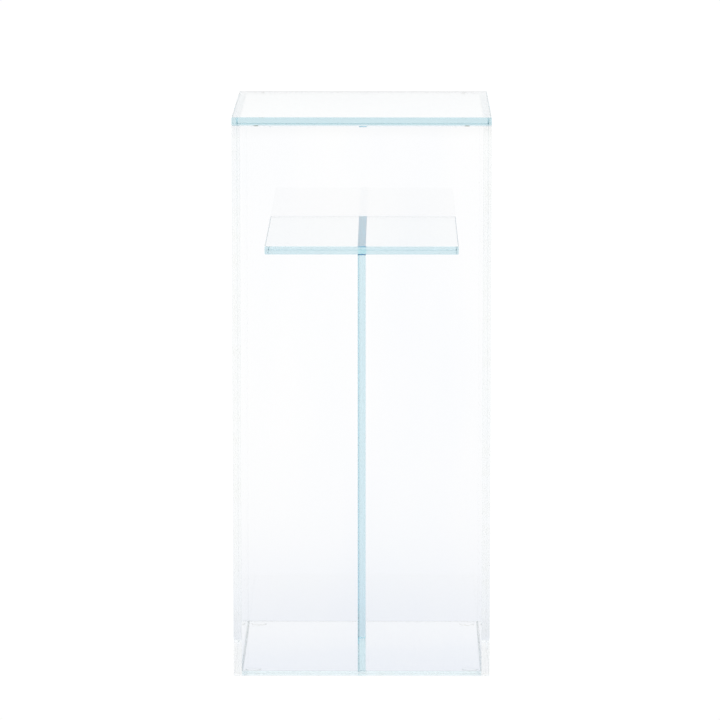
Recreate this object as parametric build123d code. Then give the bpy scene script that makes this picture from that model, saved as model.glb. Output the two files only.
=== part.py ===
from build123d import *
import os

# A tall, frameless glass aquarium with a lift-off cover glass and a T-shaped glass stand inside it.
# Millimetres. +Z is up, +X is to the right as seen from the front, and the front faces -Y.
# The origin is the middle of the footprint, on the surface that the aquarium stands on.

# Outer size of the glass case
case_width = 320
case_depth = 320
wall_height = 691

# Glass thicknesses, and the small ground arris along every edge of every pane
wall_glass = 10
base_glass = 5
cover_thickness = 10
stand_glass = 10
arris = 0.8

# Clear silicone: the glue line between two panes, trimmed flush with the glass on both sides
glue_line = 0.6

# The T-shaped stand, measured from the aquarium's floor to the top of its shelf
stand_height = 536
shelf_width = 240
stand_end_gap = 1.0

# Clear discs: under the base, and under the cover glass
pad_height = 1
pad_diameter = 20
pad_to_wall = 4
bumper_height = 1
bumper_diameter = 6
bumper_from_corner = 30

# Heights above the surface that the aquarium stands on
wall_bottom = pad_height
wall_top = wall_bottom + wall_height
floor_top = wall_bottom + base_glass
cover_bottom = wall_top + bumper_height
shelf_top = floor_top + stand_height
shelf_bottom = shelf_top - stand_glass
upright_bottom = floor_top + glue_line
upright_top = shelf_bottom - glue_line

# Half sizes of the case, outside and between the walls
outer_x = case_width / 2
outer_y = case_depth / 2
inner_x = outer_x - wall_glass
inner_y = outer_y - wall_glass
stand_depth = 2 * (inner_y - stand_end_gap)

left, right, front, back = -1, 1, -1, 1


def block(x_range, y_range, z_range):
    """A plain box between two values along each axis."""
    low = [min(ends) for ends in (x_range, y_range, z_range)]
    high = [max(ends) for ends in (x_range, y_range, z_range)]
    corner_align = (Align.MIN, Align.MIN, Align.MIN)
    sides = [top - bottom for bottom, top in zip(low, high)]
    return Pos(*low) * Box(*sides, align=corner_align)


def pane(x_range, y_range, z_range):
    """A flat glass pane with a ground arris along every edge."""
    blank = block(x_range, y_range, z_range)
    return chamfer(blank.edges(), arris)


def make_end_pane(end):
    """The front or back pane, which covers the edges of the side panes."""
    return pane((-outer_x, outer_x), (end * inner_y, end * outer_y), (wall_bottom, wall_top))


def make_side_pane(side):
    """A side pane, glued between the front and back panes."""
    reach = inner_y - glue_line
    return pane((side * inner_x, side * outer_x), (-reach, reach), (wall_bottom, wall_top))


def make_base_pane():
    """The floor, glued between the four walls with its underside level with theirs."""
    reach_x = inner_x - glue_line
    reach_y = inner_y - glue_line
    return pane((-reach_x, reach_x), (-reach_y, reach_y), (wall_bottom, floor_top))


def make_cover():
    """The cover glass, flush with the outside of the walls."""
    z_range = (cover_bottom, cover_bottom + cover_thickness)
    return pane((-outer_x, outer_x), (-outer_y, outer_y), z_range)


def make_upright():
    """The upright of the T, which runs from front to back just clear of both panes."""
    half_glass = stand_glass / 2
    half_depth = stand_depth / 2
    z_range = (upright_bottom, upright_top)
    return pane((-half_glass, half_glass), (-half_depth, half_depth), z_range)


def make_shelf():
    """The shelf on top of the upright, as deep as it is."""
    half_width = shelf_width / 2
    half_depth = stand_depth / 2
    return pane((-half_width, half_width), (-half_depth, half_depth), (shelf_bottom, shelf_top))


def make_corner_seam(side, end, end_pane, side_pane):
    """Silicone between a side pane's edge and an end pane, which also fills the arrises beside it."""
    near = inner_y - arris - glue_line
    far = inner_y + arris
    strip = block((side * inner_x, side * outer_x), (end * near, end * far), (wall_bottom, wall_top))
    return strip - end_pane - side_pane


def make_floor_seam(base_pane):
    """Silicone round the base pane's edge, level with the floor above and with the walls below."""
    return block((-inner_x, inner_x), (-inner_y, inner_y), (wall_bottom, floor_top)) - base_pane


def make_stand_seam(upright, face_height, into_glass):
    """Silicone between one end of the upright and the pane it meets, level with the upright's sides."""
    half_glass = stand_glass / 2
    half_depth = stand_depth / 2
    z_range = (face_height, face_height + into_glass * (glue_line + arris))
    return block((-half_glass, half_glass), (-half_depth, half_depth), z_range) - upright


def make_discs(diameter, height, z_bottom, centre_x, centre_y):
    """Four equal discs, one near each corner."""
    spots = [(x * centre_x, y * centre_y) for x in (left, right) for y in (front, back)]
    upright_align = (Align.CENTER, Align.CENTER, Align.MIN)
    disc = Cylinder(diameter / 2, height, align=upright_align)
    return Compound(children=[Pos(x, y, z_bottom) * disc for x, y in spots])


def make_foot_pads():
    """Discs under the base pane, close to the walls."""
    inset = pad_to_wall + pad_diameter / 2
    return make_discs(pad_diameter, pad_height, 0, inner_x - inset, inner_y - inset)


def make_cover_bumpers():
    """Discs on the top edges of the front and back panes, under the cover glass."""
    centre_x = outer_x - bumper_from_corner
    centre_y = outer_y - wall_glass / 2
    return make_discs(bumper_diameter, bumper_height, wall_top, centre_x, centre_y)


def build():
    """Every sub-part by the name of its node."""
    parts = {
        "front_pane": make_end_pane(front),
        "back_pane": make_end_pane(back),
        "left_pane": make_side_pane(left),
        "right_pane": make_side_pane(right),
        "base_pane": make_base_pane(),
        "cover_glass": make_cover(),
        "stand_upright": make_upright(),
        "stand_shelf": make_shelf(),
        "foot_pads": make_foot_pads(),
        "cover_bumpers": make_cover_bumpers(),
    }
    for end, end_name in ((front, "front"), (back, "back")):
        for side, side_name in ((left, "left"), (right, "right")):
            end_pane = parts[f"{end_name}_pane"]
            side_pane = parts[f"{side_name}_pane"]
            seam = make_corner_seam(side, end, end_pane, side_pane)
            parts[f"seam_{end_name}_{side_name}"] = seam
    upright = parts["stand_upright"]
    parts["seam_stand_foot"] = make_stand_seam(upright, floor_top, 1)
    parts["seam_stand_shelf"] = make_stand_seam(upright, shelf_bottom, -1)
    parts["seam_floor"] = make_floor_seam(parts["base_pane"])
    return parts


os.makedirs("parts", exist_ok=True)
for node, shape in build().items():
    export_step(shape, f"parts/{node}.step")
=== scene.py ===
# %% [markdown]
# # A frameless glass aquarium with a glass stand inside
#
# The real object is almost nothing but clear glass: five panes glued into a tall box, a loose cover glass
# on top, and a T of two more panes standing inside. What the eye sees is not the glass but its edges,
# because only there has the light travelled through hand-widths of glass instead of millimetres.
#
# So this lesson is about three things. Real thickness, so that every edge is a long path for the light. A
# volume that absorbs a little red on each metre, so that the long paths come out cyan. And a bright, even
# surrounding, because glass shows what is behind it and what it mirrors, and has no look of its own.

# %% Load the fixed frame
import math

import bpy
import numpy as np
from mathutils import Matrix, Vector


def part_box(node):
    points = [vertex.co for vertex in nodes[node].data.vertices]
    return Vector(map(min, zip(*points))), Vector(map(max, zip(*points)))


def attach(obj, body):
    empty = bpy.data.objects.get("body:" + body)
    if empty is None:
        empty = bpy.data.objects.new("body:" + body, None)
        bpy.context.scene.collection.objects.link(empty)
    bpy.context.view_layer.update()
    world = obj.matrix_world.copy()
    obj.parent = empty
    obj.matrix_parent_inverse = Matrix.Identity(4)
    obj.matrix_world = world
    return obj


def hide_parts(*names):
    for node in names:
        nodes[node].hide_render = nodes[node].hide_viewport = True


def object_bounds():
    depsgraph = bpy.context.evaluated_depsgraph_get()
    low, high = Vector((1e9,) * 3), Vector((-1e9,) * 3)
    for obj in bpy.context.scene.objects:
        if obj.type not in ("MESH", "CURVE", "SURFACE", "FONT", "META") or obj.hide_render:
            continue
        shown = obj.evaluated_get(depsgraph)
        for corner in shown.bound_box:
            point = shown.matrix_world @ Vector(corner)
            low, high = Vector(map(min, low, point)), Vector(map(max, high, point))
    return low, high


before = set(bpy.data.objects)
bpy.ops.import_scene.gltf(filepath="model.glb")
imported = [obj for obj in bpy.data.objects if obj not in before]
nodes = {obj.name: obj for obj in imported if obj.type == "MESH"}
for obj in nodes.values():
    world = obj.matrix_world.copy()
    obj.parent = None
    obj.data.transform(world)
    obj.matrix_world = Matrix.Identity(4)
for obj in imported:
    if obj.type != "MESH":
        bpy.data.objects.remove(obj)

cad_low, cad_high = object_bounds()
print("CAD box, metres:", tuple(cad_low), tuple(cad_high))

# %% [markdown]
# ## Sizes that come from the frame
#
# Every place in this file is read from the CAD nodes, so the looks follow the design if it changes. The
# walls give the inside of the tank, the base pane gives its floor, and the upright and shelf give the
# stand. A millimetre gets a name because glass work is measured in millimetres and Blender in metres.

# %% Read the places that the new pieces need
MM = 0.001
front_low, front_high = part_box("front_pane")
side_low, side_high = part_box("left_pane")
_, base_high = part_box("base_pane")
upright_low, upright_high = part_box("stand_upright")
shelf_low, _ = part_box("stand_shelf")

inner_x = -side_high.x
inner_y = -front_high.y
outer_x = front_high.x
wall_bottom, wall_top = front_low.z, front_high.z
floor_top = base_high.z
glue_line = side_low.y - front_high.y
inside = (2 * inner_x, 2 * inner_y, wall_top - floor_top)
print("inside of the tank, mm:", [round(length / MM) for length in inside])
print("glue line, mm:", round(glue_line / MM, 2))

# %% [markdown]
# ## The camera
#
# Glass furniture is usually shown from far away through a long lens, so that upright edges stay nearly
# parallel. Here a 242 mm lens stands six metres off and looks down nine degrees, just enough to
# see the cover and the shelf as thin planes. The camera is placed by the two angles and the distance from
# a point on the object, which is easier to tune than three coordinates.

# %% Place the camera
LENS_MM = 242.0
VIEW_DISTANCE = 6.156
LOOK_DOWN = math.radians(8.96)
LOOK_LEFT = math.radians(0.38)
AIM_RIGHT = -0.0030
AIM_ABOVE_MIDDLE = 0.0246

middle = (cad_low + cad_high) / 2
aim = middle + Vector((AIM_RIGHT, 0, AIM_ABOVE_MIDDLE))
forward = Vector((
    -math.sin(LOOK_LEFT) * math.cos(LOOK_DOWN),
    math.cos(LOOK_LEFT) * math.cos(LOOK_DOWN),
    -math.sin(LOOK_DOWN),
))
camera_data = bpy.data.cameras.new("camera")
camera_data.lens = LENS_MM
camera_data.clip_start = 0.1
camera_data.clip_end = 200
camera = bpy.data.objects.new("camera", camera_data)
camera.location = aim - forward * VIEW_DISTANCE
camera.rotation_euler = forward.to_track_quat("-Z", "Y").to_euler()
bpy.context.scene.collection.objects.link(camera)
bpy.context.scene.camera = camera
print("camera at", tuple(round(v, 3) for v in camera.location))

# %% [markdown]
# ## Light for glass
#
# Glass is lit by its surroundings. A bright field, white floor and white air on every side, makes the
# faces vanish and leaves the edges drawn in colour. In a studio a darker card is then stood beside the
# object, out of view, so that one upright edge gets a thin dark outline: here the air is a little
# darker on the left. The paths of light inside a pane bounce many times between its faces, so the
# renderer is allowed more bounces than usual: with too few, long edges come out black. The standard view
# transform keeps white as white.

# %% Choose the light and make two node helpers
AIR_OVERHEAD = 1.12
AIR_LEVEL = 0.98
AIR_BEHIND_THE_CAMERA = 0.60
AIR_AT_THE_CARD = 0.60
MOST_BOUNCES = 200

scene = bpy.context.scene
scene.view_settings.view_transform = "Standard"
scene.cycles.max_bounces = MOST_BOUNCES
scene.cycles.transmission_bounces = MOST_BOUNCES
scene.cycles.glossy_bounces = MOST_BOUNCES
scene.cycles.diffuse_bounces = 6


def ramp(tree, value, start, end, low, high):
    """A smooth change from low to high while value goes from start to end."""
    change = tree.nodes.new("ShaderNodeMapRange")
    change.interpolation_type = "SMOOTHSTEP"
    change.inputs["From Min"].default_value = start
    change.inputs["From Max"].default_value = end
    change.inputs["To Min"].default_value = low
    change.inputs["To Max"].default_value = high
    tree.links.new(value, change.inputs["Value"])
    return change.outputs["Result"]


def arithmetic(tree, operation, first, second):
    """The result of a Math node on two sockets, or on a socket and a number."""
    node = tree.nodes.new("ShaderNodeMath")
    node.operation = operation
    for socket, value in zip(node.inputs, (first, second)):
        if isinstance(value, (int, float)):
            socket.default_value = value
        else:
            tree.links.new(value, socket)
    return node.outputs[0]


print("most bounces of a path of light:", MOST_BOUNCES)

# %% [markdown]
# The air is one world shader. Generated coordinates of a world are the direction in which a ray leaves, so
# three ramps, one on each axis, make it brighter overhead, darker at the card and darker behind the camera.

# %% Light the air
world = bpy.data.worlds.new("studio_air")
world.use_nodes = True
scene.world = world
air = world.node_tree
towards = air.nodes.new("ShaderNodeTexCoord")
along = air.nodes.new("ShaderNodeSeparateXYZ")
air.links.new(towards.outputs["Generated"], along.inputs[0])
height_light = ramp(air, along.outputs["Z"], 0.0, 0.6, AIR_LEVEL, AIR_OVERHEAD)
card_shade = ramp(air, along.outputs["X"], -1.0, -0.45, AIR_AT_THE_CARD, 1.0)
camera_side = ramp(air, along.outputs["Y"], -0.9, -0.2, AIR_BEHIND_THE_CAMERA, 1.0)
air_light = arithmetic(air, "MULTIPLY", arithmetic(air, "MULTIPLY", height_light, card_shade), camera_side)
air.links.new(air_light, air.nodes["Background"].inputs["Strength"])
air.nodes["Background"].inputs["Color"].default_value = (1, 1, 1, 1)
print("air overhead, level, at the card:", AIR_OVERHEAD, AIR_LEVEL, AIR_AT_THE_CARD)

# %% [markdown]
# ## The floor
#
# Glass is often shown on a light table: a white sheet that glows by itself, so that nothing below
# or behind the object is dark. A shadow is painted into the glow that is seen through the glass: it is a
# little darker close to the object, most of all under its front. Far out in front the glow is painted
# down to half, a painted shade. Beside the object the table should stay pure white all the same. A Light
# Path node gives that: a ray straight from the camera meets plain white, and every other ray, above all
# the ones that came through the glass, meets the glow with its painted shadow and painted shade.

# %% Lay the light table
FLOOR_HALF_SIZE = 60.0
BELOW_THE_PADS = 0.05 * MM
FLOOR_SEEN_DIRECTLY = 1.02
GLOW = 1.0
# the SHADE values paint a shadow into the glow round the object, deepest under its front
SHADE_AT_THE_OBJECT = (0.150, 0.120, 0.065)
SHADE_HALVES_AFTER = 0.35
SHADE_AT_THE_BACK = 0.80
SHADE_AT_THE_FRONT = 1.65
# painted shade: far out in front, past these places, the glow is cut to half
PAINTED_SHADE_STARTS = -6.2
PAINTED_SHADE_ENDS = -6.6
GLOW_IN_PAINTED_SHADE = 0.5


def mesh_object(name, points, faces, smooth):
    """A new mesh object at the origin. smooth tells for each face whether it is shaded as curved."""
    mesh = bpy.data.meshes.new(name)
    mesh.from_pydata(points.tolist(), [], faces)
    mesh.polygons.foreach_set("use_smooth", np.broadcast_to(smooth, len(mesh.polygons)))
    mesh.update()
    thing = bpy.data.objects.new(name, mesh)
    bpy.context.scene.collection.objects.link(thing)
    return thing


corners = np.array([(-1, -1), (1, -1), (1, 1), (-1, 1)], float) * FLOOR_HALF_SIZE
floor_points = np.column_stack([corners, np.full(4, -BELOW_THE_PADS)])
floor = mesh_object("studio_floor", floor_points, [(0, 1, 2, 3)], False)
print("floor half size, m:", FLOOR_HALF_SIZE)

# %% [markdown]
# The glow is worked out from the place on the table: a painted shadow, a ring of shade round the object
# that halves within a hand's length or two and is deeper towards the front, and a painted shade that
# weakens the glow far out in front.

# %% Make the table glow, with its painted shadow and painted shade
table = bpy.data.materials.new("light_table_painted_shadow")
table.use_nodes = True
tree = table.node_tree
tree.nodes.remove(tree.nodes["Principled BSDF"])
here = tree.nodes.new("ShaderNodeTexCoord")
axes = tree.nodes.new("ShaderNodeSeparateXYZ")
tree.links.new(here.outputs["Object"], axes.inputs[0])
across = arithmetic(tree, "POWER", axes.outputs["X"], 2)
away = arithmetic(tree, "POWER", axes.outputs["Y"], 2)
# painted shadow: a ring round the object where the glow is darkened, deeper towards the front
from_middle = arithmetic(tree, "SQRT", arithmetic(tree, "ADD", across, away), 0)
distance = arithmetic(tree, "MAXIMUM", arithmetic(tree, "SUBTRACT", from_middle, outer_x), 0)
reach = arithmetic(tree, "POWER", arithmetic(tree, "DIVIDE", distance, SHADE_HALVES_AFTER), 2)
nearness = arithmetic(tree, "DIVIDE", 1, arithmetic(tree, "ADD", reach, 1))
front_to_back = ramp(tree, axes.outputs["Y"], -outer_x, outer_x, SHADE_AT_THE_FRONT, SHADE_AT_THE_BACK)
depth_of_shade = arithmetic(tree, "MULTIPLY", nearness, front_to_back)
shade = tree.nodes.new("ShaderNodeMix")
shade.data_type = "RGBA"
shade.inputs["A"].default_value = (1, 1, 1, 1)
shade.inputs["B"].default_value = (*[1 - part for part in SHADE_AT_THE_OBJECT], 1)
shade.clamp_factor = False
tree.links.new(depth_of_shade, shade.inputs["Factor"])
# painted shade: the glow falls to half far out in front
painted_shade_in_front = ramp(tree, axes.outputs["Y"], PAINTED_SHADE_ENDS, PAINTED_SHADE_STARTS, GLOW_IN_PAINTED_SHADE, GLOW)
glow = tree.nodes.new("ShaderNodeEmission")
tree.links.new(shade.outputs["Result"], glow.inputs["Color"])
tree.links.new(painted_shade_in_front, glow.inputs["Strength"])
white = tree.nodes.new("ShaderNodeEmission")
white.inputs["Strength"].default_value = FLOOR_SEEN_DIRECTLY
ray = tree.nodes.new("ShaderNodeLightPath")
choice = tree.nodes.new("ShaderNodeMixShader")
tree.links.new(ray.outputs["Is Camera Ray"], choice.inputs[0])
tree.links.new(glow.outputs[0], choice.inputs[1])
tree.links.new(white.outputs[0], choice.inputs[2])
tree.links.new(choice.outputs[0], tree.nodes["Material Output"].inputs["Surface"])
floor.data.materials.append(table)
print("glow, shade beside the object:", GLOW, SHADE_AT_THE_OBJECT)

# %% [markdown]
# ## Finishes that several materials share
#
# Even clean glass has a surface. The grinding belt leaves a slightly satin arris along every edge, a
# cloth leaves long faint smears, the float line leaves a hardly visible waviness, and dust settles on
# whatever lies flat. Each of these is a node group, built once and placed in every material with its own
# values, so one recipe serves thick and thin glass alike. A group only puts out masks, heights and
# roughness: the shader that uses them stays in the material.

# %% Helpers for a node group
def new_group(name, inputs, outputs):
    """A shader node group with named number inputs, each with its usual value, and named number outputs."""
    group = bpy.data.node_groups.new(name, "ShaderNodeTree")
    for label, value in inputs.items():
        socket = group.interface.new_socket(label, in_out="INPUT", socket_type="NodeSocketFloat")
        socket.default_value = value
    for label in outputs:
        group.interface.new_socket(label, in_out="OUTPUT", socket_type="NodeSocketFloat")
    return group, group.nodes.new("NodeGroupInput").outputs, group.nodes.new("NodeGroupOutput").inputs


def noise(tree, scale, detail, stretch=(1, 1, 1), turn=0.0):
    """Noise on Object coordinates, scale times per metre, drawn out by dividing the axes by stretch."""
    place = tree.nodes.new("ShaderNodeTexCoord")
    mapping = tree.nodes.new("ShaderNodeMapping")
    mapping.inputs["Scale"].default_value = [1 / length for length in stretch]
    mapping.inputs["Rotation"].default_value = (turn, turn, turn)
    tree.links.new(place.outputs["Object"], mapping.inputs["Vector"])
    texture = tree.nodes.new("ShaderNodeTexNoise")
    texture.inputs["Detail"].default_value = detail
    if isinstance(scale, (int, float)):
        texture.inputs["Scale"].default_value = scale
    else:
        tree.links.new(scale, texture.inputs["Scale"])
    tree.links.new(mapping.outputs["Vector"], texture.inputs["Vector"])
    return texture.outputs["Fac"]


def own_normal(tree):
    """The x, y and z of the surface's own direction on the object."""
    place = tree.nodes.new("ShaderNodeTexCoord")
    parts = tree.nodes.new("ShaderNodeSeparateXYZ")
    tree.links.new(place.outputs["Normal"], parts.inputs[0])
    return parts.outputs


print("helpers ready: new_group, noise, own_normal")

# %% [markdown]
# ### A ground arris
#
# The arrises are the only faces that slant, so no mask has to be painted: a face whose direction has no
# large part along any axis is an arris. Fine noise breaks the satin up into the grain of the belt.

# %% Build the arris group
arris_values = {"Roughness": 0.3, "Grain per Metre": 900.0}
arris_group, given, out = new_group("ground_arris", arris_values, ["Roughness"])
tree = arris_group
lengths = [arithmetic(tree, "ABSOLUTE", part, 0) for part in own_normal(tree)]
largest = arithmetic(tree, "MAXIMUM", arithmetic(tree, "MAXIMUM", lengths[0], lengths[1]), lengths[2])
slanted = ramp(tree, largest, 0.80, 0.95, 1.0, 0.0)
grain = ramp(tree, noise(tree, given["Grain per Metre"], 3.0), 0.35, 0.65, 0.6, 1.0)
ground = arithmetic(tree, "MULTIPLY", arithmetic(tree, "MULTIPLY", slanted, grain), given["Roughness"])
tree.links.new(ground, out["Roughness"])
print("group:", arris_group.name)

# %% [markdown]
# ### Wiped and wavy
#
# A cloth is drawn along the pane, so its smears are noise that is stretched and slightly turned. The slow
# waves of the float line are stretched the other way, and go to a Bump as a height.

# %% Build the wiped surface group
wipe_values = {"Streaks per Metre": 9.0, "Waves per Metre": 7.0}
wipe_group, given, out = new_group("wiped_surface", wipe_values, ["Smear", "Height"])
tree = wipe_group
streaks = noise(tree, given["Streaks per Metre"], 4.0, (1.0, 1.0, 3.0), 0.35)
smear = ramp(tree, streaks, 0.38, 0.72, 0.0, 1.0)
tree.links.new(smear, out["Smear"])
tree.links.new(noise(tree, given["Waves per Metre"], 1.0, (3.0, 3.0, 1.0)), out["Height"])
print("group:", wipe_group.name)

# %% [markdown]
# ### Settled dust
#
# Dust lies only where a face looks up. Small specks are gathered into drifts by a second, slower noise.

# %% Build the dust group
dust_values = {"Amount": 1.0, "Specks per Metre": 420.0}
dust_group, given, out = new_group("settled_dust", dust_values, ["Dust"])
tree = dust_group
lying_flat = ramp(tree, own_normal(tree)["Z"], 0.6, 0.9, 0.0, 1.0)
specks = ramp(tree, noise(tree, given["Specks per Metre"], 2.0), 0.60, 0.72, 0.0, 1.0)
drifts = ramp(tree, noise(tree, 14.0, 3.0), 0.35, 0.7, 0.25, 1.0)
dust = arithmetic(tree, "MULTIPLY", arithmetic(tree, "MULTIPLY", specks, drifts), lying_flat)
tree.links.new(arithmetic(tree, "MULTIPLY", dust, given["Amount"]), out["Dust"])
print("group:", dust_group.name)

# %% [markdown]
# ### Cured in air
#
# Silicone, glue and cast plastic are never quite even: a little cloud in the body, and a skin with a fine
# relief. Both come from the same noise, once coarse and once six times finer.

# %% Build the cured group
cloud_group, given, out = new_group("cured_cloud", {"Clouds per Metre": 60.0}, ["Cloud", "Height"])
tree = cloud_group
clouds = noise(tree, given["Clouds per Metre"], 3.0)
tree.links.new(ramp(tree, clouds, 0.35, 0.7, 0.0, 1.0), out["Cloud"])
finer = arithmetic(tree, "MULTIPLY", given["Clouds per Metre"], 6)
tree.links.new(noise(tree, finer, 2.0), out["Height"])
print("node groups:", [group.name for group in bpy.data.node_groups])

# %% [markdown]
# ## Glass
#
# Ordinary float glass holds a little iron, which takes red light, then green. Over one pane that is
# nothing, over a whole shelf it is the cyan of the edge. The colour therefore belongs in the volume and
# not on the surface: a Volume Absorption node, with what the glass takes from each colour on each metre.
# The walls are low-iron glass, because their edges stay nearly white, and the thin base lies between the
# two kinds.
#
# The surface carries the shared finishes, each kept just strong enough to see from close by: smears and
# dust tint the Base Color by a percent or two, the arrises get their satin Roughness, and the waviness is
# a Bump of a few thousandths of a millimetre.

# %% Helpers for a clear material
GLASS_IOR = 1.52
FLOAT_GLASS_TAKES = (1.308, 0.579, 0.400)
LOW_IRON_GLASS_TAKES = (0.06, 0.035, 0.025)
BASE_GLASS_TAKES = (0.55, 0.22, 0.14)
SILICONE_IOR = 1.41
SILICONE_TAKES = (0.10, 0.06, 0.06)
GLUE_IOR = 1.51
GLUE_TAKES = (0.3, 0.2, 0.2)
SHELF_GLUE_TAKES = (4500, 330, 130)
DUST_AMOUNT = 0.3
SMEAR_TINT = (0.984, 0.989, 0.998)
DUST_TINT = (0.93, 0.94, 0.95)
WAVE_HEIGHT = 0.004 * MM
CLOUD_HEIGHT = 0.002 * MM


def clear_material(name, taken_per_metre, ior):
    """A clear solid. taken_per_metre is how much it absorbs of red, green and blue on each metre."""
    material = bpy.data.materials.new(name)
    material.use_nodes = True
    tree = material.node_tree
    shader = tree.nodes["Principled BSDF"]
    shader.inputs["Base Color"].default_value = (1, 1, 1, 1)
    shader.inputs["Roughness"].default_value = 0.0
    shader.inputs["IOR"].default_value = ior
    shader.inputs["Transmission Weight"].default_value = 1.0
    density = 2 * max(taken_per_metre)
    inside = tree.nodes.new("ShaderNodeVolumeAbsorption")
    inside.inputs["Color"].default_value = (*[1 - part / density for part in taken_per_metre], 1)
    inside.inputs["Density"].default_value = density
    tree.links.new(inside.outputs[0], tree.nodes["Material Output"].inputs["Volume"])
    return material


def place_group(material, group, **values):
    """Puts a shared node group into a material with its own values, and gives back its outputs."""
    node = material.node_tree.nodes.new("ShaderNodeGroup")
    node.node_tree = group
    for label, value in values.items():
        node.inputs[label.replace("_", " ")].default_value = value
    return node.outputs


def tinted(material, colour, mask, tint):
    """The colour before, turned towards tint where the mask is one."""
    tree = material.node_tree
    mix = tree.nodes.new("ShaderNodeMix")
    mix.data_type = "RGBA"
    if colour is None:
        mix.inputs["A"].default_value = (1, 1, 1, 1)
    else:
        tree.links.new(colour, mix.inputs["A"])
    mix.inputs["B"].default_value = (*tint, 1)
    tree.links.new(mask, mix.inputs["Factor"])
    return mix.outputs["Result"]


def bumped(material, height, metres):
    """A Bump node on the shader's Normal, for relief of a known height in metres."""
    tree = material.node_tree
    bump = tree.nodes.new("ShaderNodeBump")
    bump.inputs["Strength"].default_value = 1.0
    bump.inputs["Distance"].default_value = metres
    tree.links.new(height, bump.inputs["Height"])
    tree.links.new(bump.outputs["Normal"], tree.nodes["Principled BSDF"].inputs["Normal"])


print("indices of glass, glue and silicone:", GLASS_IOR, GLUE_IOR, SILICONE_IOR)

# %% [markdown]
# The three kinds of glass differ in what they absorb, in how fine their smears are and in how rough their
# arrises were left. The cover and the stand are the strongly coloured ones.

# %% Make the glass and put it on the panes
def finish_glass(material, arris_roughness, streaks):
    """Smears, dust, a satin arris and the float line's waviness on one kind of glass."""
    tree = material.node_tree
    shader = tree.nodes["Principled BSDF"]
    wiped = place_group(material, wipe_group, Streaks_per_Metre=streaks)
    dust = place_group(material, dust_group, Amount=DUST_AMOUNT)
    ground = place_group(material, arris_group, Roughness=arris_roughness)
    colour = tinted(material, None, wiped["Smear"], SMEAR_TINT)
    colour = tinted(material, colour, dust["Dust"], DUST_TINT)
    tree.links.new(colour, shader.inputs["Base Color"])
    tree.links.new(ground["Roughness"], shader.inputs["Roughness"])
    bumped(material, wiped["Height"], WAVE_HEIGHT)


float_glass = clear_material("float_glass", FLOAT_GLASS_TAKES, GLASS_IOR)
low_iron_glass = clear_material("low_iron_glass", LOW_IRON_GLASS_TAKES, GLASS_IOR)
base_glass = clear_material("base_glass", BASE_GLASS_TAKES, GLASS_IOR)
finish_glass(float_glass, arris_roughness=0.10, streaks=11.0)
finish_glass(low_iron_glass, arris_roughness=0.05, streaks=8.0)
finish_glass(base_glass, arris_roughness=0.05, streaks=9.5)

WALLS = ("front_pane", "back_pane", "left_pane", "right_pane")
BASE = ("base_pane",)
OTHER_PANES = ("cover_glass", "stand_upright", "stand_shelf")
for material, names in ((low_iron_glass, WALLS), (base_glass, BASE), (float_glass, OTHER_PANES)):
    for name in names:
        nodes[name].data.materials.clear()
        nodes[name].data.materials.append(material)
print("glass on", len(WALLS + BASE + OTHER_PANES), "panes")

# %% [markdown]
# ## Silicone seams
#
# An all-glass tank is held by clear silicone, here only a thin line of it between each pair of panes,
# trimmed flush. To the light it is a bridge. Glass, silicone and glass touch, so a ray crosses from pane
# to pane instead of being thrown back by a sliver of air, and the joint all but disappears.
#
# For the renderer a bridge must not leave that sliver. Two surfaces at exactly the same place are
# ambiguous, so each seam reaches a fiftieth of a millimetre into the glass on both sides. A seam is one
# outline, drawn as a row of points and moved along a path. Where it is open to the air it is drawn in a
# little, because silicone shrinks as it cures, and that hollow gets deeper and shallower on the way, as
# the maker's hand does.

# %% Tools for drawing a seam
INTO_GLASS = 0.02 * MM
SHORT_OF_EDGE = 0.03 * MM
HOLLOW_DEPTH = 0.03 * MM
HOLLOW_STEPS = 5
HAND_WANDER = 0.5

front_points = np.array([v.co for v in nodes["front_pane"].data.vertices])
on_front_face = front_points[:, 1] < front_points[:, 1].min() + 0.01 * MM
arris = outer_x - front_points[on_front_face, 0].max()
notch = glue_line + arris - SHORT_OF_EDGE
print("arris, mm:", round(arris / MM, 2))


def wander(place, seed):
    """Smooth ups and downs between -1 and 1: the mean of three sine waves, 30 to 110 mm long, that start at
    random places."""
    chance = np.random.default_rng(seed)
    lengths = chance.uniform(0.030, 0.110, 3)
    starts = chance.uniform(0, 2 * math.pi, 3)
    return np.sin(place[:, None] * 2 * math.pi / lengths + starts).mean(1)


def hollow(start, end, drawn_to, depth):
    """The open side of a seam, one curve per station: the chord from start to end, with depth * 4t(1 - t)
    added in the direction drawn_to, where t runs from 0 to 1 along the chord."""
    t = np.linspace(0, 1, HOLLOW_STEPS)[:, None]
    chord = np.array(start) + t * (np.array(end) - np.array(start))
    return chord + depth[:, None, None] * 4 * t * (1 - t) * np.array(drawn_to)


def straight(stations, *points):
    """Corner points that are the same at every station."""
    return np.broadcast_to(np.array(points, float), (stations, len(points), 2))


def turn_outward(piece):
    """Turns every face over if the solid's signed volume, a sum over its triangles, is negative."""
    mesh = piece.data
    mesh.calc_loop_triangles()
    points = np.array([v.co for v in mesh.vertices])
    triangles = np.array([t.vertices[:] for t in mesh.loop_triangles])
    a, b, c = points[triangles].transpose(1, 0, 2)
    volume = np.einsum("ij,ij->i", a, np.cross(b, c)).sum() / 6
    if volume < 0:
        mesh.flip_normals()
    print(f"{piece.name}: {len(mesh.polygons)} faces, {abs(volume) * 1e9:.0f} cubic mm")


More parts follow.
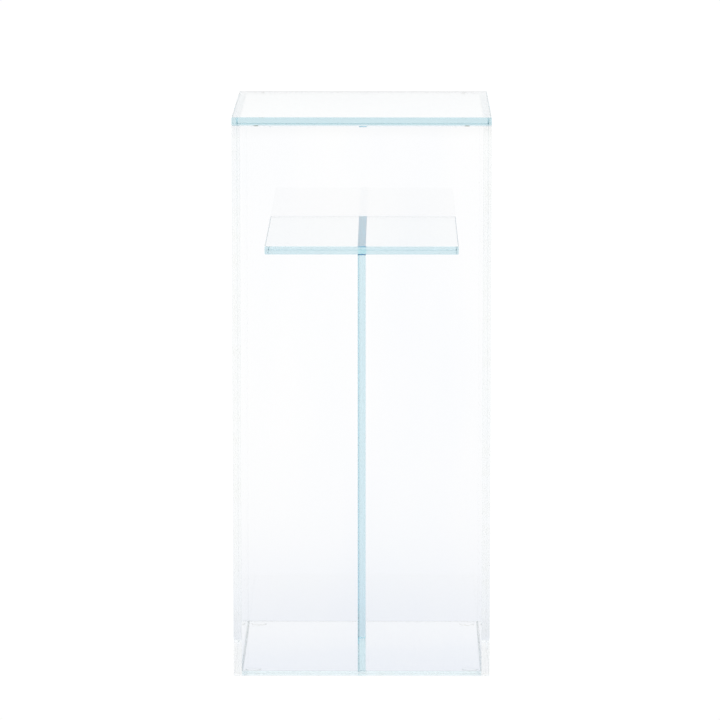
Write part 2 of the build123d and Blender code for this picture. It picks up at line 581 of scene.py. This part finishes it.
def swept(name, outline, place, closed, open_steps):
    """A solid whose outline, a row of points per station, is joined to the next station's by a strip of
    faces. place turns the outline (stations, points, 2) into x, y, z. A closed sweep joins its last station
    to its first, and another one gets two end faces. open_steps are the steps that are shaded as curved."""
    stations, around = outline.shape[:2]
    spans = stations if closed else stations - 1
    station, step = np.meshgrid(np.arange(spans), np.arange(around), indexing="ij")
    here = station * around
    after = (station + 1) % stations * around
    beside = (step + 1) % around
    quads = np.stack([here + step, here + beside, after + beside, after + step], axis=-1)
    faces = quads.reshape(-1, 4).tolist()
    smooth = np.isin(step, open_steps).ravel()
    if not closed:
        faces.append(list(range(around))[::-1])
        faces.append(list(range((stations - 1) * around, stations * around)))
        smooth = np.append(smooth, [False, False])
    piece = mesh_object(name, place(outline).reshape(-1, 3), faces, smooth)
    turn_outward(piece)
    return piece


def finish_piece(piece, material, node):
    """Gives a new piece its material, and lets it stand for a CAD node of the tank."""
    piece.data.materials.append(material)
    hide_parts(node)
    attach(piece, "tank")


print("hollow, mm:", round(HOLLOW_DEPTH / MM, 3))

# %% [markdown]
# ### Silicone and glue
#
# Silicone bends light a little less than glass does, which is why a seam can just be seen. The stand is
# bonded with glass glue instead, which bends it almost as much, and the glue under the shelf is tinted.

# %% Make the silicone and the glues
silicone = clear_material("clear_silicone", SILICONE_TAKES, SILICONE_IOR)
glass_glue = clear_material("clear_glass_glue", GLUE_TAKES, GLUE_IOR)


def finish_cured(material, tint, clouds):
    """A faint cloudiness in the colour, and a skin that is not quite smooth, as on what cured in air."""
    cured = place_group(material, cloud_group, Clouds_per_Metre=clouds)
    colour = tinted(material, None, cured["Cloud"], tint)
    material.node_tree.links.new(colour, material.node_tree.nodes["Principled BSDF"].inputs["Base Color"])
    bumped(material, cured["Height"], CLOUD_HEIGHT)


finish_cured(silicone, (0.985, 0.985, 0.975), 60.0)
finish_cured(glass_glue, (0.98, 0.985, 0.97), 90.0)
shelf_glue = clear_material("tinted_shelf_glue", SHELF_GLUE_TAKES, GLUE_IOR)
finish_cured(shelf_glue, (0.97, 0.985, 0.98), 90.0)

print("seam materials:", silicone.name, glass_glue.name, shelf_glue.name)

# %% [markdown]
# ### The four upright seams
#
# Each side pane stands between the front and back panes, so its edge is glued flat against them. The
# silicone also fills the small notches beside the ground arrises, on the outside between two of them and
# on the inside beside one.

# %% Draw the upright seams
wall_glass = outer_x - inner_x


def upright_seam(side, end, node, seed):
    """One corner seam. Its outline is drawn as distance outward from the side pane's inner face, and
    distance inward from the end pane's inner face."""
    heights = np.linspace(wall_bottom + SHORT_OF_EDGE, wall_top - SHORT_OF_EDGE, 70)
    depth = HOLLOW_DEPTH * (1 + HAND_WANDER * wander(heights, seed))
    rim = wall_glass - SHORT_OF_EDGE
    inner_side = glue_line + INTO_GLASS
    beside_end_pane = SHORT_OF_EDGE - arris - INTO_GLASS
    outline = np.concatenate([
        straight(len(heights), (wall_glass - arris, -INTO_GLASS)),
        hollow((rim, beside_end_pane), (rim, notch + INTO_GLASS), (-1, 0), depth),
        straight(len(heights), (wall_glass - arris, inner_side), (arris, inner_side)),
        hollow((SHORT_OF_EDGE, notch + INTO_GLASS), (SHORT_OF_EDGE, -INTO_GLASS), (1, 0), depth),
    ], axis=1)

    def place(outline):
        x = side * (inner_x + outline[..., 0])
        y = end * (inner_y - outline[..., 1])
        return np.stack([x, y, np.broadcast_to(heights[:, None], x.shape)], axis=-1)

    piece = swept(node + "_silicone", outline, place, False, [1, 2, 3, 4, 8, 9, 10, 11])
    finish_piece(piece, silicone, node)


seed = 10
for end, end_name in ((-1, "front"), (1, "back")):
    for side, side_name in ((-1, "left"), (1, "right")):
        upright_seam(side, end, f"seam_{end_name}_{side_name}", seed)
        seed += 1
print("upright seams, height in mm:", round((wall_top - wall_bottom) / MM))

# %% [markdown]
# ### The seam round the floor
#
# The base pane hangs between the four walls, so its seam is a closed ring with mitred corners. The ring's
# stations are points on a unit square, and the outline says how far inside the walls each of its points
# runs.

# %% Draw the floor seam
STATIONS_PER_SIDE = 42
cut_corner = 1 - arris / inner_x
step = np.sort(np.concatenate([np.linspace(-1, 1, STATIONS_PER_SIDE - 1)[:-1], [-cut_corner, cut_corner]]))
one = np.ones(STATIONS_PER_SIDE)
ring_x = np.concatenate([step, one, -step, -one])
ring_y = np.concatenate([-one, step, one, -step])
ring_points = np.column_stack([ring_x, ring_y]) * inner_x
around_the_floor = np.cumsum(np.linalg.norm(np.diff(ring_points, axis=0, prepend=ring_points[:1]), axis=1))
depth = HOLLOW_DEPTH * (1 + HAND_WANDER * wander(around_the_floor, 30))
low, high = wall_bottom + SHORT_OF_EDGE, floor_top - SHORT_OF_EDGE
edge = glue_line + INTO_GLASS
outline = np.concatenate([
    hollow((-INTO_GLASS, low), (notch + INTO_GLASS, low), (0, 1), depth),
    straight(len(ring_x), (edge + arris / 2, wall_bottom + arris / 2), (edge, wall_bottom + arris)),
    straight(len(ring_x), (edge, floor_top - arris), (edge + arris / 2, floor_top - arris / 2)),
    hollow((notch + INTO_GLASS, high), (-INTO_GLASS, high), (0, -1), depth),
], axis=1)


def place_round_the_floor(outline):
    """Distance from the walls and height, turned into x, y, z. At the four corners the base pane's upright
    edge is cut off by its arris, so the points against it move half an arris further in."""
    at_corner = (np.abs(ring_x) + np.abs(ring_y) > 1.999)[:, None]
    against_the_base = np.abs(outline[..., 0] - edge) < 0.01 * MM
    inward = outline[..., 0] + np.where(at_corner & against_the_base, arris / 2, 0)
    x = ring_x[:, None] * (inner_x - inward)
    y = ring_y[:, None] * (inner_y - inward)
    return np.stack([x, y, outline[..., 1]], axis=-1)


floor_seam = swept("seam_floor_silicone", outline, place_round_the_floor, True, [0, 1, 2, 3, 9, 10, 11, 12])
finish_piece(floor_seam, silicone, "seam_floor")
print("floor seam, points round and points across:", len(ring_x), outline.shape[1])

# %% [markdown]
# ### The two seams of the stand
#
# The upright's lower edge is glued to the floor and its upper edge to the shelf. The two seams are the
# same outline, once standing on the floor and once hanging from the shelf. They matter more than they
# look: what is seen through the shelf has gone through the upper one, and then down the whole upright.
# Its glue is tinted like the glass's edge, which makes that bar the darkest colour of the object, and the
# lower one is clear.

# %% Draw the stand's seams
half_glass = upright_high.x


def stand_seam(node, face_height, into_upright, glue, seed):
    """One seam of the T. Its outline is drawn as x, and distance from the face that the upright meets."""
    length = np.linspace(upright_low.y + SHORT_OF_EDGE, upright_high.y - SHORT_OF_EDGE, 40)
    depth = HOLLOW_DEPTH * (1 + HAND_WANDER * wander(length, seed))
    rim = half_glass - SHORT_OF_EDGE
    flat = half_glass - arris
    upright_side = glue_line + INTO_GLASS
    outline = np.concatenate([
        hollow((rim, -INTO_GLASS), (rim, notch + INTO_GLASS), (-1, 0), depth),
        straight(len(length), (flat, upright_side), (-flat, upright_side)),
        hollow((-rim, notch + INTO_GLASS), (-rim, -INTO_GLASS), (1, 0), depth),
    ], axis=1)

    def place(outline):
        z = face_height + into_upright * outline[..., 1]
        return np.stack([outline[..., 0], np.broadcast_to(length[:, None], z.shape), z], axis=-1)

    piece = swept(node + "_glue", outline, place, False, [0, 1, 2, 3, 7, 8, 9, 10])
    finish_piece(piece, glue, node)


stand_seam("seam_stand_foot", floor_top, 1, glass_glue, 41)
stand_seam("seam_stand_shelf", shelf_low.z, -1, shelf_glue, 42)
print("stand seams, width in mm:", round(2 * half_glass / MM, 1))

# %% [markdown]
# ## Bumpers and foot pads
#
# Glass never rests on glass. Four small clear domes stick to the rim under the cover, and four larger
# ones to the underside of the base. They are cast drops of soft plastic: flat where they stick, rounded
# where they touch. A drop is a curve turned round an upright axis, with the radius falling slowly and
# then quickly.

# %% Helpers for the domes
def domes(name, node, radius, height, spots, stuck_at, points_to, flatness):
    """Four equal domes as one object. The radius is R cos(t)^flatness while the height is H sin(t), with t
    from 0 to 90 degrees."""
    t = np.linspace(0, math.pi / 2, 12)[:-1]
    turn = np.linspace(0, 2 * math.pi, 33)[:-1]
    profile_r = radius * np.concatenate([[1], np.cos(t) ** flatness])
    profile_h = np.concatenate([[-INTO_GLASS], height * np.sin(t)])
    rings = np.stack([
        profile_r[:, None] * np.cos(turn),
        profile_r[:, None] * np.sin(turn),
        np.broadcast_to(profile_h[:, None], (len(profile_r), len(turn))),
    ], axis=-1).reshape(-1, 3)
    one = np.concatenate([rings, [(0, 0, height)]])
    ring, step = np.meshgrid(np.arange(len(profile_r) - 1), np.arange(len(turn)), indexing="ij")
    beside = (step + 1) % len(turn)
    wide = len(turn)
    lower = ring * wide
    upper = lower + wide
    quads = np.stack([lower + step, lower + beside, upper + beside, upper + step], -1)
    last = (len(profile_r) - 1) * wide
    first = last + np.arange(wide)
    second = last + (np.arange(wide) + 1) % wide
    tip = np.stack([first, second, np.full(wide, last + wide)], -1)
    points = np.concatenate([one * (1, 1, points_to) + (x, y, stuck_at) for x, y in spots])
    faces = []
    smooth = []
    for number in range(len(spots)):
        start = number * len(one)
        faces += (quads.reshape(-1, 4) + start).tolist() + (tip + start).tolist()
        faces.append((np.arange(wide)[::-1] + start).tolist())
        smooth += [True] * (quads.size // 4 + len(tip)) + [False]
    piece = mesh_object(name, points, faces, np.array(smooth))
    turn_outward(piece)
    finish_piece(piece, rubber, node)


def disc_spots(node):
    """The middles of the four discs of a CAD node, their radius, and the box they fill."""
    low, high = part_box(node)
    points = np.array([v.co for v in nodes[node].data.vertices])
    one = points[(points[:, 0] > 0) & (points[:, 1] > 0)]
    middle = (one.min(0) + one.max(0)) / 2
    radius = (one[:, 0].max() - one[:, 0].min()) / 2
    spots = [(side * middle[0], end * middle[1]) for side in (-1, 1) for end in (-1, 1)]
    return spots, radius, low, high


print("helpers ready: domes, disc_spots")

# %% [markdown]
# The cover's bumpers are rounder, and the foot pads are flatter, because the whole weight stands on them.
# Their height is the CAD disc's, so nothing pokes out of the box.

# %% Stick the domes on
RUBBER_TAKES = (1.5, 1.5, 2.0)
RUBBER_IOR = 1.49
RUBBER_TINT = (0.95, 0.95, 0.93)
BUMPER_BELOW_COVER = 0.01 * MM
BUMPER_FLATNESS = 0.8
PAD_FLATNESS = 0.35

rubber = clear_material("clear_rubber", RUBBER_TAKES, RUBBER_IOR)
finish_cured(rubber, RUBBER_TINT, 250.0)
spots, radius, low, high = disc_spots("cover_bumpers")
height = high.z - low.z - BUMPER_BELOW_COVER
domes("cover_bumper_domes", "cover_bumpers", radius, height, spots, low.z, 1, BUMPER_FLATNESS)
spots, radius, low, high = disc_spots("foot_pads")
height = high.z - low.z
domes("foot_pad_domes", "foot_pads", radius, height, spots, high.z, -1, PAD_FLATNESS)
print("foot pads, radius and height in mm:", round(radius / MM, 1), round(height / MM, 1))
